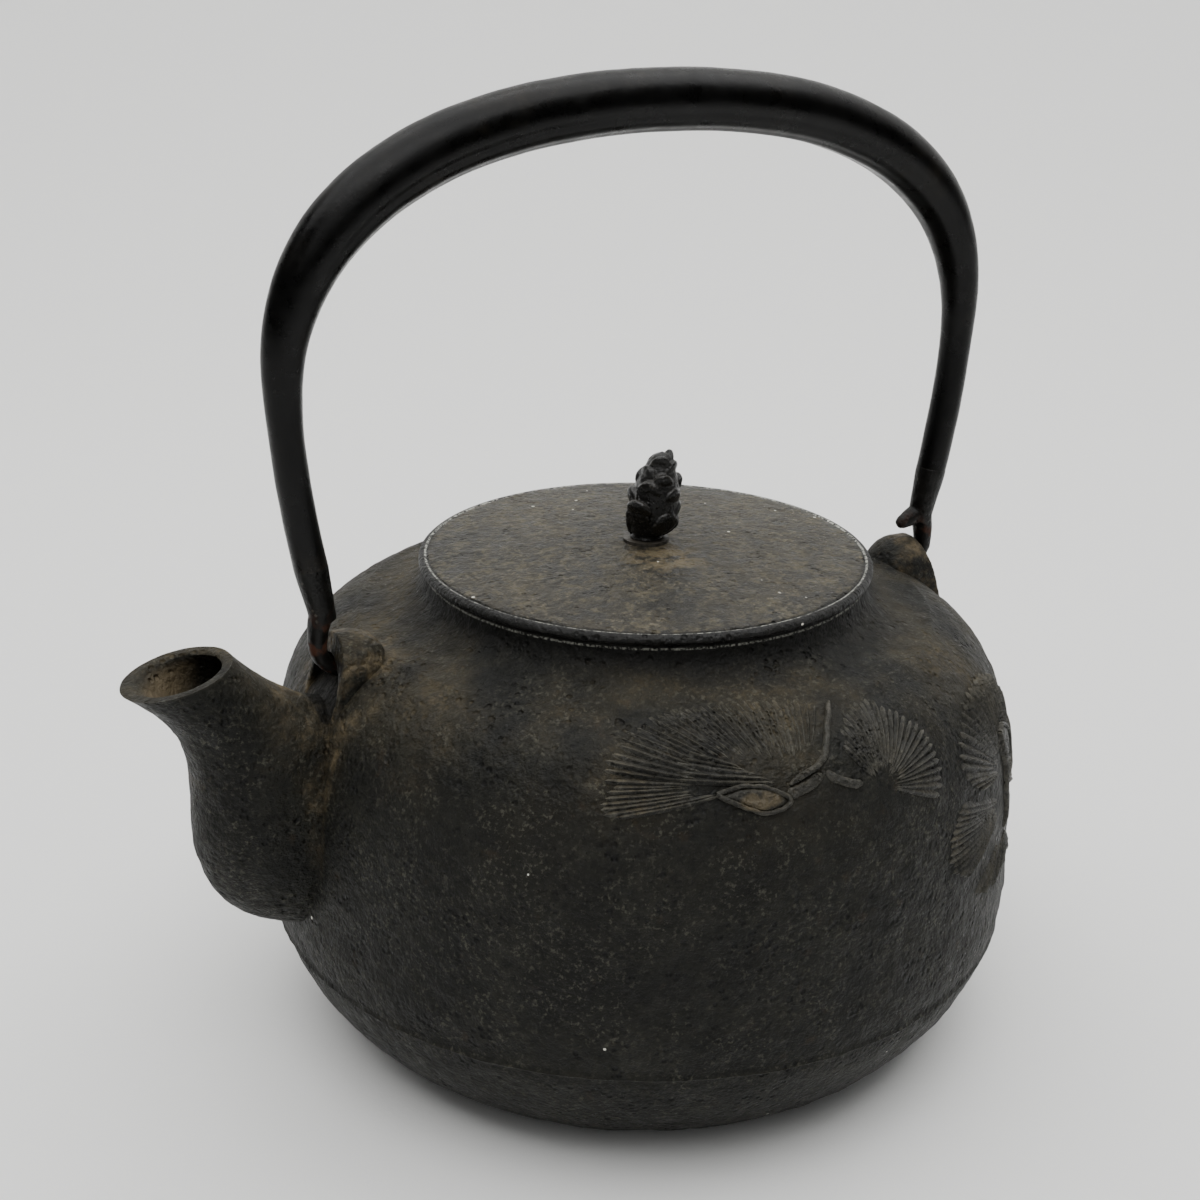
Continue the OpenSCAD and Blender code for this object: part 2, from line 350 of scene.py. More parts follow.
ironLooks = {  # colours are linear and the speck colour is a painted highlight, grain sizes are noise scales, depth is in mm
    "body": {
        "dark": (0.0036, 0.0037, 0.0026, 1), "pale": (0.016, 0.0156, 0.011, 1),
        "dust": (0.12, 0.097, 0.055, 1), "worn": (0.08, 0.074, 0.055, 1), "glintColour": (0.075, 0.073, 0.055, 1),
        "speck": 950.0, "glintShare": 0.65, "grit": 1000.0, "lump": 360.0, "pit": 0.7, "cover": 0.5, "wear": 0.3,
        "rough": (0.5, 0.75), "bump": 1.0, "depth": 1.3, "flecks": 0.006, "shine": 0.2},
    "relief": {
        "dark": (0.006, 0.006, 0.0045, 1), "pale": (0.024, 0.023, 0.017, 1),
        "dust": (0.12, 0.1, 0.06, 1), "worn": (0.1, 0.094, 0.074, 1), "glintColour": (0.09, 0.086, 0.066, 1),
        "speck": 1300.0, "glintShare": 0.5, "grit": 1300.0, "lump": 620.0, "pit": 0.6, "cover": 0.5, "wear": 0.5,
        "rough": (0.4, 0.7), "bump": 1.0, "depth": 1.0, "flecks": 0.003, "shine": 0.3},
    "lid": {
        "dark": (0.0085, 0.0078, 0.0052, 1), "pale": (0.05, 0.043, 0.029, 1),
        "dust": (0.2, 0.165, 0.1, 1), "worn": (0.12, 0.108, 0.08, 1), "glintColour": (0.2, 0.175, 0.12, 1),
        "speck": 700.0, "glintShare": 0.6, "grit": 950.0, "lump": 420.0, "pit": 0.8, "cover": 0.22, "wear": 0.3,
        "rough": (0.4, 0.66), "bump": 1.0, "depth": 1.1, "flecks": 0.1, "shine": 0.3},
    "knob": {
        "dark": (0.0022, 0.0021, 0.0017, 1), "pale": (0.006, 0.0055, 0.0045, 1),
        "dust": (0.09, 0.075, 0.05, 1), "worn": (0.07, 0.064, 0.052, 1), "glintColour": (0.03, 0.028, 0.022, 1),
        "speck": 1200.0, "glintShare": 0.4, "grit": 1500.0, "lump": 700.0, "pit": 0.4, "cover": 0.22, "wear": 0.55,
        "rough": (0.24, 0.42), "bump": 0.7, "depth": 0.4, "flecks": 0.0, "shine": 0.4},
    "fittings": {
        "dark": (0.008, 0.0075, 0.006, 1), "pale": (0.026, 0.023, 0.017, 1),
        "dust": (0.12, 0.095, 0.06, 1), "worn": (0.1, 0.09, 0.075, 1), "glintColour": (0.07, 0.06, 0.045, 1),
        "speck": 1200.0, "glintShare": 0.4, "grit": 1400.0, "lump": 700.0, "pit": 0.3, "cover": 0.3, "wear": 0.4,
        "rough": (0.4, 0.6), "bump": 0.5, "depth": 0.25, "flecks": 0.0, "shine": 0.4},
}


def newMaterial(name):
    made = bpy.data.materials.new(name)
    made.use_nodes = True
    made.node_tree.nodes.clear()
    return made, made.node_tree, add(made.node_tree, "TexCoord").outputs["Object"]


def finishMaterial(tree, color, roughness, height, look):
    depth = look["depth"] * mm
    bumps = add(tree, "Bump", {}, {"Strength": look["bump"], "Distance": depth, "Height": height})
    shader = add(tree, "BsdfPrincipled", {}, {"Base Color": color, "Roughness": roughness,
        "Normal": bumps.outputs[0], "Specular IOR Level": look["shine"]})
    add(tree, "OutputMaterial", {}, {"Surface": shader.outputs[0]})


def ironMaterial(name, look, extra=None):
    made, tree, spot = newMaterial(name)
    grain = place(tree, grainGroup, place=spot, grit=look["grit"], lump=look["lump"], pit=look["pit"])
    height = grain["Height"]
    dust = place(tree, dustGroup, place=spot, height=height, cover=look["cover"], patch=45.0)["Dust"]
    wear = place(tree, wearGroup, place=spot, reach=0.08, strength=look["wear"])["Wear"]
    flecks = place(tree, fleckGroup, place=spot, spread=420.0, size=0.17, share=look["flecks"])["Flecks"]
    tone = slope(tree, noise(tree, spot, 70.0, 6.0, 0.62), 0.32, 0.7)
    color = blend(tree, times(tree, tone, slope(tree, height, 0.35, 0.85)), look["dark"], look["pale"])
    # painted highlights: pale specks in the colour that stand for glints on the grain
    speck = slope(tree, noise(tree, spot, look["speck"], 3.0, 0.7), 0.53, 0.66)
    where = slope(tree, noise(tree, spot, 90.0, 3.0, 0.6), 0.3, 0.65)
    color = blend(tree, times(tree, speck, where, look["glintShare"]), color, look["glintColour"])
    hole = slope(tree, noise(tree, spot, look["speck"] * 0.8, 3.0, 0.7), 0.44, 0.34)
    hole = calc(tree, "MAXIMUM", times(tree, hole, 0.8), grain["Pits"])
    color = blend(tree, hole, color, (0.0015, 0.0015, 0.0012, 1))
    rust = slope(tree, noise(tree, spot, 160.0, 4.0, 0.6), 0.62, 0.78)
    color = blend(tree, times(tree, rust, 0.35), color, (0.04, 0.026, 0.013, 1))
    color = blend(tree, wear, color, look["worn"])
    color = blend(tree, dust, color, look["dust"])
    if extra:
        color = extra(tree, spot, color, height)
    color = blend(tree, flecks, color, (0.7, 0.68, 0.6, 1))
    low, high = look["rough"]
    dull = calc(tree, "ADD", times(tree, dust, 0.8), noise(tree, spot, 260.0, 3.0))
    roughness = add(tree, "MapRange", {}, {"Value": dull, "From Min": 0.3, "From Max": 0.9, "To Min": low,
        "To Max": high}).outputs[0]
    glint = slope(tree, noise(tree, spot, look["grit"] * 1.3, 2.0), 0.62, 0.72)  # small polished grains
    roughness = calc(tree, "SUBTRACT", roughness, times(tree, glint, 0.28))
    finishMaterial(tree, color, roughness, height, look)
    return made


def within(tree, value, middle, soft, hard):  # 1 close to the middle value, 0 further off than soft
    return slope(tree, calc(tree, "ABSOLUTE", calc(tree, "SUBTRACT", value, middle)), soft, hard)


def fromAxis(tree, spot):  # the place without its height, and its distance from the pot's axis
    flat = add(tree, "VectorMath", {"operation": "MULTIPLY"}, {0: spot, 1: (1, 1, 0)}).outputs[0]
    return flat, add(tree, "VectorMath", {"operation": "LENGTH"}, {0: flat}).outputs["Value"]


# Dust round the lugs and along the spout's root, painted shade in the lug pockets and on the neck under the
# lid, and a painted highlight on the collar's edge
def bodyStains(tree, spot, color, height):
    x, y, z = add(tree, "SeparateXYZ", {}, {0: spot}).outputs
    side = calc(tree, "ABSOLUTE", x)
    across = calc(tree, "ABSOLUTE", y)
    radius = fromAxis(tree, spot)[1]
    hollow = slope(tree, height, 0.72, 0.45)
    patches = slope(tree, noise(tree, spot, 110.0, 5.0, 0.6), 0.4, 0.62)

    def ball(along, centreZ, reach):  # 1 near a place on the handle's plane
        here = add(tree, "CombineXYZ", {}, {0: along, 1: y, 2: z}).outputs[0]
        away = add(tree, "VectorMath", {"operation": "DISTANCE"}, {0: here, 1: (0, 0, centreZ)})
        return slope(tree, away.outputs["Value"], reach, reach * 0.35)

    lugDust = ball(calc(tree, "SUBTRACT", side, 0.079), 0.096, 0.023)
    rootDust = ball(calc(tree, "ADD", x, 0.086), 0.086, 0.022)
    crease = times(tree, within(tree, across, 0.0152, 0.0017, 0.0004), slope(tree, x, -0.078, -0.084),
        slope(tree, radius, 0.0945, 0.0915), slope(tree, z, 0.052, 0.084), 0.7)
    mark = calc(tree, "MAXIMUM", calc(tree, "MAXIMUM", lugDust, times(tree, rootDust, 0.4)), crease)
    mark = times(tree, mark, patches, calc(tree, "ADD", times(tree, hollow, 0.75), 0.25), 0.9)
    color = blend(tree, mark, color, (0.14, 0.108, 0.06, 1))
    # painted shade: near-black colour in the lug pockets, where shade falls
    lugPocketShade = times(tree, slope(tree, across, 0.0084, 0.0074), slope(tree, side, 0.0742, 0.0752),
        slope(tree, side, 0.0862, 0.0848), slope(tree, z, 0.1046, 0.1036), slope(tree, z, 0.087, 0.091), 0.85)
    color = blend(tree, lugPocketShade, color, (0.0025, 0.0022, 0.0016, 1))
    # painted shade: the neck under the lid darkened to near black
    neck = times(tree, slope(tree, z, 0.1045, 0.1105), slope(tree, radius, 0.063, 0.056), 0.8)
    color = blend(tree, neck, color, (0.002, 0.002, 0.0016, 1))
    # painted highlight: a pale broken line along the collar's top edge, where it catches the light
    edge = times(tree, within(tree, z, 0.1127, 0.00034, 0.00016), slope(tree, radius, 0.0535, 0.0532),
        slope(tree, noise(tree, spot, 1500.0, 3.0, 0.7), 0.42, 0.6))
    return blend(tree, edge, color, (0.24, 0.24, 0.21, 1))


# The smooth face of the bark knot in the left branch is tan
def reliefStains(tree, spot, color, height):
    knotPlace = (-0.0182, -0.0825, 0.0916)
    away = add(tree, "VectorMath", {"operation": "SUBTRACT"}, {0: spot, 1: knotPlace}).outputs[0]
    away = add(tree, "VectorMath", {"operation": "MULTIPLY"}, {0: away, 1: (0.4, 0.4, 1)}).outputs[0]
    reach = add(tree, "VectorMath", {"operation": "LENGTH"}, {0: away}).outputs["Value"]
    face = times(tree, slope(tree, reach, 0.0021, 0.0014),
        slope(tree, noise(tree, spot, 400.0, 4.0), 0.25, 0.5))
    return blend(tree, face, color, (0.07, 0.055, 0.03, 1))


# The pale brown deposit inside the mouth of the spout, by an attribute made on the piece
def spoutStains(tree, spot, color, height):
    inside = add(tree, "Attribute", {"attribute_name": "inside"}).outputs["Fac"]
    patches = slope(tree, noise(tree, spot, 200.0, 4.0), 0.25, 0.6)
    tan = times(tree, inside, calc(tree, "ADD", times(tree, patches, 0.5), 0.5))
    return blend(tree, tan, bodyStains(tree, spot, color, height), (0.1, 0.078, 0.046, 1))


# A brown patch before the knob, pale and bare streaks, a rim painted near black as a painted dark reflection,
# and a painted highlight on its edge
def lidStains(tree, spot, color, height):
    flat, radius = fromAxis(tree, spot)
    patchPlace = (-0.002, -0.013, 0)
    brown = add(tree, "VectorMath", {"operation": "DISTANCE"}, {0: flat, 1: patchPlace}).outputs["Value"]
    patch = times(tree, slope(tree, brown, 0.013, 0.003),
        slope(tree, noise(tree, spot, 260.0, 4.0), 0.35, 0.6), 0.6)
    color = blend(tree, patch, color, (0.15, 0.115, 0.06, 1))
    streaks = slope(tree, noise(tree, spot, 330.0, 6.0, 0.75), 0.5, 0.6)
    color = blend(tree, times(tree, streaks, 0.6), color, (0.105, 0.09, 0.054, 1))
    bare = slope(tree, noise(tree, spot, 260.0, 6.0, 0.78), 0.5, 0.42)
    color = blend(tree, times(tree, bare, 0.85), color, (0.01, 0.0092, 0.0066, 1))
    # painted reflection: the smooth glossy rim painted near black, for the dark surroundings it reflects
    rim = times(tree, slope(tree, radius, 0.0514, 0.052), 0.95)
    color = blend(tree, rim, color, (0.0016, 0.0016, 0.0014, 1))
    # painted highlight: a pale broken line on the rim, where its edge catches the light
    edge = times(tree, within(tree, radius, 0.0524, 0.00036, 0.00018),
        slope(tree, noise(tree, spot, 1400.0, 3.0, 0.7), 0.42, 0.6))
    return blend(tree, edge, color, (0.42, 0.42, 0.37, 1))


lacquerLook = {"black": (0.0012, 0.0012, 0.0011, 1), "brown": (0.01, 0.008, 0.005, 1),
    "worn": (0.05, 0.04, 0.03, 1), "bump": 0.35, "depth": 0.16, "shine": 0.16}


def lacquerMaterial(name, look):
    made, tree, spot = newMaterial(name)
    height = place(tree, grainGroup, place=spot, grit=1600.0, lump=500.0, pit=0.25)["Height"]
    wear = place(tree, wearGroup, place=spot, reach=0.1, strength=0.4)["Wear"]
    dust = place(tree, dustGroup, place=spot, height=height, cover=0.16, patch=120.0)["Dust"]
    rubbed = slope(tree, noise(tree, spot, 60.0, 5.0, 0.65), 0.52, 0.72)
    color = blend(tree, times(tree, rubbed, 0.5), look["black"], look["brown"])
    color = blend(tree, calc(tree, "MAXIMUM", wear, dust), color, look["worn"])
    roughness = add(tree, "MapRange", {}, {"Value": noise(tree, spot, 220.0, 5.0, 0.6), "From Min": 0.3,
        "From Max": 0.75, "To Min": 0.22, "To Max": 0.42}).outputs[0]
    finishMaterial(tree, color, roughness, height, look)
    return made


hookLook = {"iron": (0.0025, 0.0025, 0.002, 1), "bare": (0.006, 0.0055, 0.0045, 1),
    "rust": (0.11, 0.04, 0.02, 1), "worn": (0.075, 0.068, 0.055, 1), "rustTop": 0.118, "rustFull": 0.106,
    "bump": 0.7, "depth": 0.4, "shine": 0.2}


def hookMaterial(name, look):
    made, tree, spot = newMaterial(name)
    height = place(tree, grainGroup, place=spot, grit=1500.0, lump=600.0, pit=0.5)["Height"]
    wear = place(tree, wearGroup, place=spot, reach=0.08, strength=0.7)["Wear"]
    z = add(tree, "SeparateXYZ", {}, {0: spot}).outputs[2]
    color = blend(tree, slope(tree, noise(tree, spot, 240.0, 5.0), 0.35, 0.65), look["iron"], look["bare"])
    rust = times(tree, slope(tree, noise(tree, spot, 300.0, 4.0), 0.5, 0.66),
        slope(tree, z, look["rustTop"], look["rustFull"]))
    color = blend(tree, times(tree, rust, 0.45), color, look["rust"])
    color = blend(tree, wear, color, look["worn"])
    roughness = calc(tree, "ADD", 0.42, times(tree, rust, 0.35))
    finishMaterial(tree, color, roughness, height, look)
    return made


castBody = ironMaterial("castBody", ironLooks["body"], bodyStains)
castSpout = ironMaterial("castSpout", ironLooks["body"], spoutStains)
castRelief = ironMaterial("castRelief", ironLooks["relief"], reliefStains)
castLid = ironMaterial("castLid", ironLooks["lid"], lidStains)
castKnob = ironMaterial("castKnob", ironLooks["knob"])
knobFittings = ironMaterial("knobFittings", ironLooks["fittings"])
lacquer = lacquerMaterial("handleLacquer", lacquerLook)
hookIron = hookMaterial("hookIron", hookLook)
print("materials made")

vesselLow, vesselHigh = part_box("vessel")
bellyR = vesselHigh.y / mm
collarZ = vesselHigh.z / mm
pot = {"baseR": 63, "bellyZ": 41, "ringZ": 103, "ringR": 68.2, "collarR": 52.8, "mouthR": 49, "wall": 2.8,
    "floor": 3.4, "ringHeight": 0.5, "ringWidth": 0.9, "seamZ": 30, "seamHeight": 0.55, "seamWidth": 0.5,
    "collarEdge": [(0, 2), (0, 1.3), (0.15, 0.6), (0.5, 0.15), (1, 0)], "boreR": 10, "boreZ": 66,
    "steps": 400, "lumps": [(26, 0.7), (7, 0.6), (3.2, 0.4)]}


def outerLine(fine=1.0):  # base edge to collar, as (radius, height), with its seam and its ring
    p = pot
    low = curve([(p["baseR"], 0), (p["baseR"] + 15, 2.6), (bellyR + 0.7, p["bellyZ"] - 18),
        (bellyR, p["bellyZ"])], int(60 * fine))
    high = curve([(bellyR, p["bellyZ"]), (bellyR - 1.5, 66), (bellyR + 1.2, 96),
        (p["ringR"], p["ringZ"])], int(64 * fine))
    neck = curve([(p["ringR"], p["ringZ"]), (p["ringR"] - 10, p["ringZ"] + 2.6),
        (p["collarR"] + 0.4, collarZ - 7), (p["collarR"], collarZ - 2)], int(22 * fine))
    shaped = []
    for r, z in low + high + neck:
        r += p["seamHeight"] * bump(z - p["seamZ"], p["seamWidth"]) - 0.3 * bump(z - p["seamZ"] + 1.1, 0.6)
        lift = p["ringHeight"] * bump(r - p["ringR"], p["ringWidth"])
        shaped.append((r + lift * 0.4, z + lift))
    return shaped


def innerLine():
    p = pot
    thin = bellyR - p["wall"]
    under = (p["ringR"] - 2, p["ringZ"] - p["wall"])
    foot = (p["baseR"] - p["wall"], p["floor"])
    neck = curve([(p["mouthR"], collarZ - 7), (p["mouthR"] + 1, p["ringZ"] + 0.4),
        (p["ringR"] - 10, p["ringZ"] - 0.8), under], 8)
    high = curve([under, (thin, 92.2), (thin - 1.5, 66), (thin, p["bellyZ"])], 14)
    low = curve([(thin, p["bellyZ"]), (thin, p["bellyZ"] - 16), (p["baseR"] + 11.2, p["floor"] + 2),
        foot], 12)
    mouth = [(p["mouthR"], collarZ - 0.5), (p["mouthR"], collarZ - 7)]
    return mouth + neck + high + low + [(40, p["floor"]), (20, p["floor"]), (0, p["floor"])]


def makePot():
    p = pot
    collar = [(p["collarR"] - back, collarZ - down) for back, down in p["collarEdge"]]
    collar.append((p["mouthR"] + 0.5, collarZ))
    base = [(0, 0), (20, 0), (40, 0), (58, 0)]
    obj = spinRound(base + outerLine() + collar + innerLine(), "pot_shell", p["steps"])
    clearAll()
    bpy.ops.mesh.primitive_cylinder_add(vertices=48, radius=p["boreR"] * mm, depth=22 * mm,
        location=(-bellyR * mm, 0, p["boreZ"] * mm), rotation=(0, pi / 2, 0))
    subtract(obj, bpy.context.object)
    roughen(obj, p["lumps"], lambda v: ease((v.z - 0.5) / 5) * (1 - ease((v.z - 108) / 4)))
    smooth(obj)
    settle(obj, "pot_shell", "pot", "cast_body", castBody, "vessel")


def potCore(inset):  # a plug a little inside the wall, to cut the roots of what grows from it
    line = [(max(0, r - inset), z) for r, z in outerLine(0.4)]
    return spinRound([(0, -1)] + [(line[0][0], -1)] + line + [(line[-1][0], 130), (0, 130)], "core", 96)


makePot()

spout = {"farLow": [(-78, 38.2), (-101, 37.6), (-113, 49.5), (-113, 67)],
    "farHigh": [(-113, 67), (-113, 81), (-110.5, 91.5), (-126.4, 102.9)],
    "near": [(-78, 93), (-87, 93), (-96, 100.5), (-102.4, 108)], "rootR": 15, "mouthR": 11.4,
    "wall": 2.8, "rings": 96, "bore": 36, "sides": 110, "lumps": [(14, 0.7), (4, 0.5), (1.8, 0.16)]}


def spoutPoint(s, inset, angle):
    p = spout
    farX, farZ = bez(p["farLow"], 2 * s) if s < 0.5 else bez(p["farHigh"], 2 * s - 1)
    nearX, nearZ = bez(p["near"], s ** 2.2)
    halfX, halfZ = (farX - nearX) / 2, (farZ - nearZ) / 2
    reach = 1 - inset / hypot(halfX, halfZ)
    width = p["rootR"] + (p["mouthR"] - p["rootR"]) * ease((s - 0.45) / 0.4) - inset
    return ((farX + nearX) / 2 + halfX * reach * cos(angle), width * sin(angle),
        (farZ + nearZ) / 2 + halfZ * reach * cos(angle))


def makeSpout():
    p = spout
    count = p["rings"]
    lip = [(1.0, 0), (1.004, 0.35), (1.004, 0.9), (1.0, 2.0), (0.99, p["wall"])]
    path = [(i / count, 0) for i in range(count)] + lip \
        + [(0.985 * (1 - i / p["bore"]), p["wall"]) for i in range(1, p["bore"] + 1)] + [(0, 0)]

    def at(ring, angle):
        s, inset = path[ring]
        return spoutPoint(min(s, 1.0), inset, angle)

    obj = tube("spout_shell", len(path) - 1, p["sides"], at, closed=False)
    subtract(obj, potCore(1.4))
    roughen(obj, p["lumps"], lambda v: 0.35 + 0.65 * ease((-v.x - 84) / 5) * (1 - ease((v.z - 98) / 6)))
    smooth(obj, 60)
    marks = obj.data.attributes.new("inside", "FLOAT", "POINT")
    centre = Vector((-114.4, 0, 105.4))
    mouthWay = Vector((-0.208, 0, 0.978))
    for vert in obj.data.vertices:
        spot = vert.co / mm
        away = spot - centre
        depth = -away.dot(mouthWay)
        inward = vert.normal.dot(away) < 0 and abs(spot.y) < p["mouthR"] - 1.6
        marks.data[vert.index].value = ease((depth - 0.6) / 2) * ease((30 - away.length) / 18) \
            * ease((-spot.x - 106) / 7) if inward else 0.0
    settle(obj, "spout_shell", "pot", "cast_body", castSpout, "spout")


makeSpout()

lug = {"back": 66.5, "dome": 75.5, "radius": 9.2, "z": 99.4, "pocket": 8, "pocketX": 75, "pocketZ": 95.8,
    "foot": 89.9, "spread": 1.0, "faceX": 78.5, "slope": 0.268, "voxel": 0.34}


def makeLug(name, node, front):
    p = lug
    domed = [(p["radius"] * sin(radians(a)), p["dome"] - (p["dome"] - p["back"]) * cos(radians(a)))
        for a in range(0, 91, 6)]
    obj = spinRound(domed + [(p["radius"], 80), (p["radius"], 86), (p["radius"], 92), (0, 92)], name, 64)
    obj.rotation_euler = (0, pi / 2, 0)
    obj.location = (0, 0, p["z"] * mm)
    freeze(obj)
    clearAll()
    middleZ = (p["z"] + p["foot"]) / 2
    bpy.ops.mesh.primitive_cube_add(size=1, location=((p["dome"] + 8) * mm, 0, middleZ * mm),
        scale=(16 * mm, 2 * p["radius"] * mm, (p["z"] - p["foot"]) * mm))
    sides = bpy.context.object
    freeze(sides)
    for vert in sides.data.vertices:  # the side walls spread a little towards the shoulder
        if vert.co.z < middleZ * mm:
            vert.co.y *= 1 + p["spread"] / p["radius"]
    obj = joinAll([obj, sides], name)
    remesh(obj, p["voxel"], 4)
    clearAll()
    bpy.ops.mesh.primitive_cylinder_add(vertices=48, radius=p["pocket"] * mm, depth=20 * mm,
        location=((p["pocketX"] + 10) * mm, 0, p["pocketZ"] * mm), rotation=(0, pi / 2, 0))
    subtract(obj, bpy.context.object)
    clearAll()
    bpy.ops.mesh.primitive_cube_add(size=1, location=((p["pocketX"] + 10) * mm, 0, (p["pocketZ"] - 9) * mm),
        scale=(20 * mm, 2 * p["pocket"] * mm, 18 * mm))
    subtract(obj, bpy.context.object)
    clearAll()
    bpy.ops.mesh.primitive_cube_add(size=60 * mm, location=((p["faceX"] + 30) * mm, 0, p["z"] * mm))
    slab = bpy.context.object
    freeze(slab)
    for vert in slab.data.vertices:  # its inner face leans as the lug's mouth does
        vert.co.x += p["slope"] * ((p["z"] + p["radius"]) * mm - vert.co.z)
    subtract(obj, slab)
    remesh(obj, p["voxel"], 5)
    subtract(obj, potCore(1.4))
    roughen(obj, [(6, 0.4), (2.2, 0.2)])
    if front:
        mirrorX(obj)
    smooth(obj, 60)
    settle(obj, name, "pot", "cast_body", castBody, node)


makeLug("lug_hood_front", "lug_front", True)
makeLug("lug_hood_rear", "lug_rear", False)

handle = {"leg": [(80.6, 110), (83.8, 127), (88, 145), (88, 165)], "gripZ": 220.5, "legR": 3.8,
    "gripR": 6.95, "cut": 0.29, "legRings": 30, "bendRings": 90, "sides": 56, "crease": 0.07,
    "lumps": [(18, 0.35), (4, 0.1)]}
bendLine = [handle["leg"][3], (88, handle["gripZ"] - 21.5), (58, handle["gripZ"]), (0, handle["gripZ"])]


def handleR(z):
    return handle["legR"] + (handle["gripR"] - handle["legR"]) * ease((z - 152) / 58)


def makeHandle():
    p = handle
    half = [bez(p["leg"], p["cut"] + (1 - p["cut"]) * i / p["legRings"]) for i in range(p["legRings"])]
    half += curve(bendLine, p["bendRings"])
    line = half + [(0, p["gripZ"])] + [(-x, z) for x, z in reversed(half)]

    def at(ring, angle):
        x, z = line[ring]
        before, after = line[max(0, ring - 1)], line[min(len(line) - 1, ring + 1)]
        dx, dz = after[0] - before[0], after[1] - before[1]
        size = hypot(dx, dz)
        grip = ease((z - 180) / 30)
        side = abs(atan2(sin(angle), cos(angle)))  # 0 on the outer side, pi on the inner side
        r = handleR(z) * (1 - p["crease"] * grip * bump(side - radians(112), 0.11)
            - 0.04 * grip * bump(side - radians(150), 0.1))
        out = r * cos(angle)
        out = max(out, -handleR(z) * (1 - 0.05 * grip))  # a little flat underneath
        return (x + dz / size * out, r * sin(angle), z - dx / size * out)

    obj = tube("handle_bail", len(line) - 1, p["sides"], at)
    roughen(obj, p["lumps"])
    smooth(obj, 60)
    settle(obj, "handle_bail", "bail", "lacquered_handle", lacquer, "handle")


makeHandle()

hook = {"footR": 2.9, "voxel": 0.28, "tongue": [(81.3, 115.4, 2.9), (81.9, 112.6, 2.75),
    (82.5, 109.8, 2.55), (82.7, 107.2, 2.35), (82.6, 105, 2.2), (81.9, 103.2, 2.05), (80.7, 101.7, 1.95),
    (79.3, 100.5, 1.85), (78, 99.6, 1.65), (77, 99, 1.2)], "prong": [(81.2, 114.6, 2.6), (79, 113.6, 2.4),
    (77.2, 112.8, 2.1), (75.6, 112.2, 1.75), (74.4, 111.8, 1.1)]}


def rod(name, spots, flat=(1, 1)):  # from (x, z, radius) places
    return bar(name, [(x, z) for x, z, r in spots], [r for x, z, r in spots], flat=flat)


def makeHook(name, node, front):
    p = hook
    steps = 8
    legLine = [bez(handle["leg"], 0.04 + (handle["cut"] - 0.02) * i / steps) for i in range(steps + 1)]
    gain = handle["legR"] - p["footR"]
    legRadii = [p["footR"] + gain * min(1, i / (steps - 1)) for i in range(steps + 1)]
    parts = [bar("leg", legLine, legRadii), rod("tongue", p["tongue"], (0.92, 1.1))]
    if not front:  # the rear bar was split before it was bent
        parts.append(rod("prong", p["prong"]))
    obj = joinAll(parts, name)
    remesh(obj, p["voxel"], 5)
    roughen(obj, [(5, 0.25), (1.6, 0.12)], lambda v: ease((v.z - 103) / 3) * (1 - ease((v.z - 121) / 3)))
    if front:
        mirrorX(obj)
    smooth(obj, 60)
    settle(obj, name, "bail", "forged_hook", hookIron, node)


makeHook("hook_tip_front", "handle_hook_front", True)
makeHook("hook_tip_rear", "handle_hook_rear", False)

lidLow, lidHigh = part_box("lid")
lid = {"radius": lidHigh.y / mm, "rimZ": collarZ + 2, "topZ": lidHigh.z / mm, "boss": 7, "band": 51.6,
    "hole": 2.5, "seat": 4.5, "thick": 2, "lip": 1.6,
    "rimEdge": [(51.85, 0.12), (52.15, 0.14), (52.45, -0.06), (52.9, -0.04), (53.4, 0.16), (53.8, 0.55)],
    "skirtR": 48.3, "skirtH": 8, "steps": 320, "lumps": [(9, 0.3), (2.4, 0.3), (1.2, 0.12)]}


def makeLid():
    p = lid
    rise = p["topZ"] - p["rimZ"]
    span = p["radius"] - 0.7 - p["boss"]
    top = [(p["hole"], p["topZ"]), (p["seat"], p["topZ"]), (p["boss"], p["topZ"])]
    count = 40
    for i in range(1, count + 1):
        r = p["boss"] + (p["band"] - p["boss"]) * i / count
        top.append((r, p["rimZ"] + rise * (1 - ((r - p["boss"]) / span) ** 2)))
    edge = p["radius"]
    rim = [(r, p["rimZ"] - down) for r, down in p["rimEdge"]]
    rim += [(edge, p["rimZ"] - 1), (edge, p["rimZ"] - 1.4), (edge - 0.15, p["rimZ"] - 1.75),
        (edge - 0.5, collarZ)]
    skirt, foot = p["skirtR"], collarZ - p["skirtH"]
    under = [(skirt + 0.3, collarZ), (skirt, collarZ - 0.4), (skirt, foot + 0.5), (skirt - 0.5, foot),
        (skirt - p["lip"], foot), (skirt - 2, foot + 0.5), (skirt - 2.4, collarZ)]
    inner = p["skirtR"] - 2.4
    for i in range(1, 16):
        r = inner + (p["boss"] - inner) * i / 15
        under.append((r, collarZ + rise * (1 - ((r - p["boss"]) / (inner - p["boss"])) ** 2)))
    under += [(p["hole"], p["topZ"] - p["thick"]), (p["hole"], p["topZ"])]
    obj = spinRound(top + rim + under, "lid_plate", p["steps"])

    def weight(v):
        r = hypot(v.x, v.y)
        if v.z < collarZ + 0.6 + rise * 0.4 and r < p["band"] - 1.5:
            return 0.0
        calmRim = 1 - 0.85 * ease((r - p["band"]) / 0.6)
        calmSeat = ease((r - 5.4) / 1.6)
        return ease(v.z - p["rimZ"] + 1.2) * calmRim * calmSeat

    roughen(obj, p["lumps"], weight)
    smooth(obj)
    settle(obj, "lid_cover", "lid_plate", "cast_lid", castLid, "lid")


makeLid()

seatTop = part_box("knob_seat")[1].z / mm
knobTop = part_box("knob")[1].z / mm
cone = {"radius": 6.3, "foot": 4.1, "scales": 22, "lean": 6.5, "leanWay": -28, "shift": 0.8, "voxel": 0.22,
    "stem": 2.4,
    "head": 3.6, "extra": 0.9}


def coneR(t):
    return cone["radius"] * sin(pi * (0.1 + 0.9 * t) ** 0.8) ** 0.55


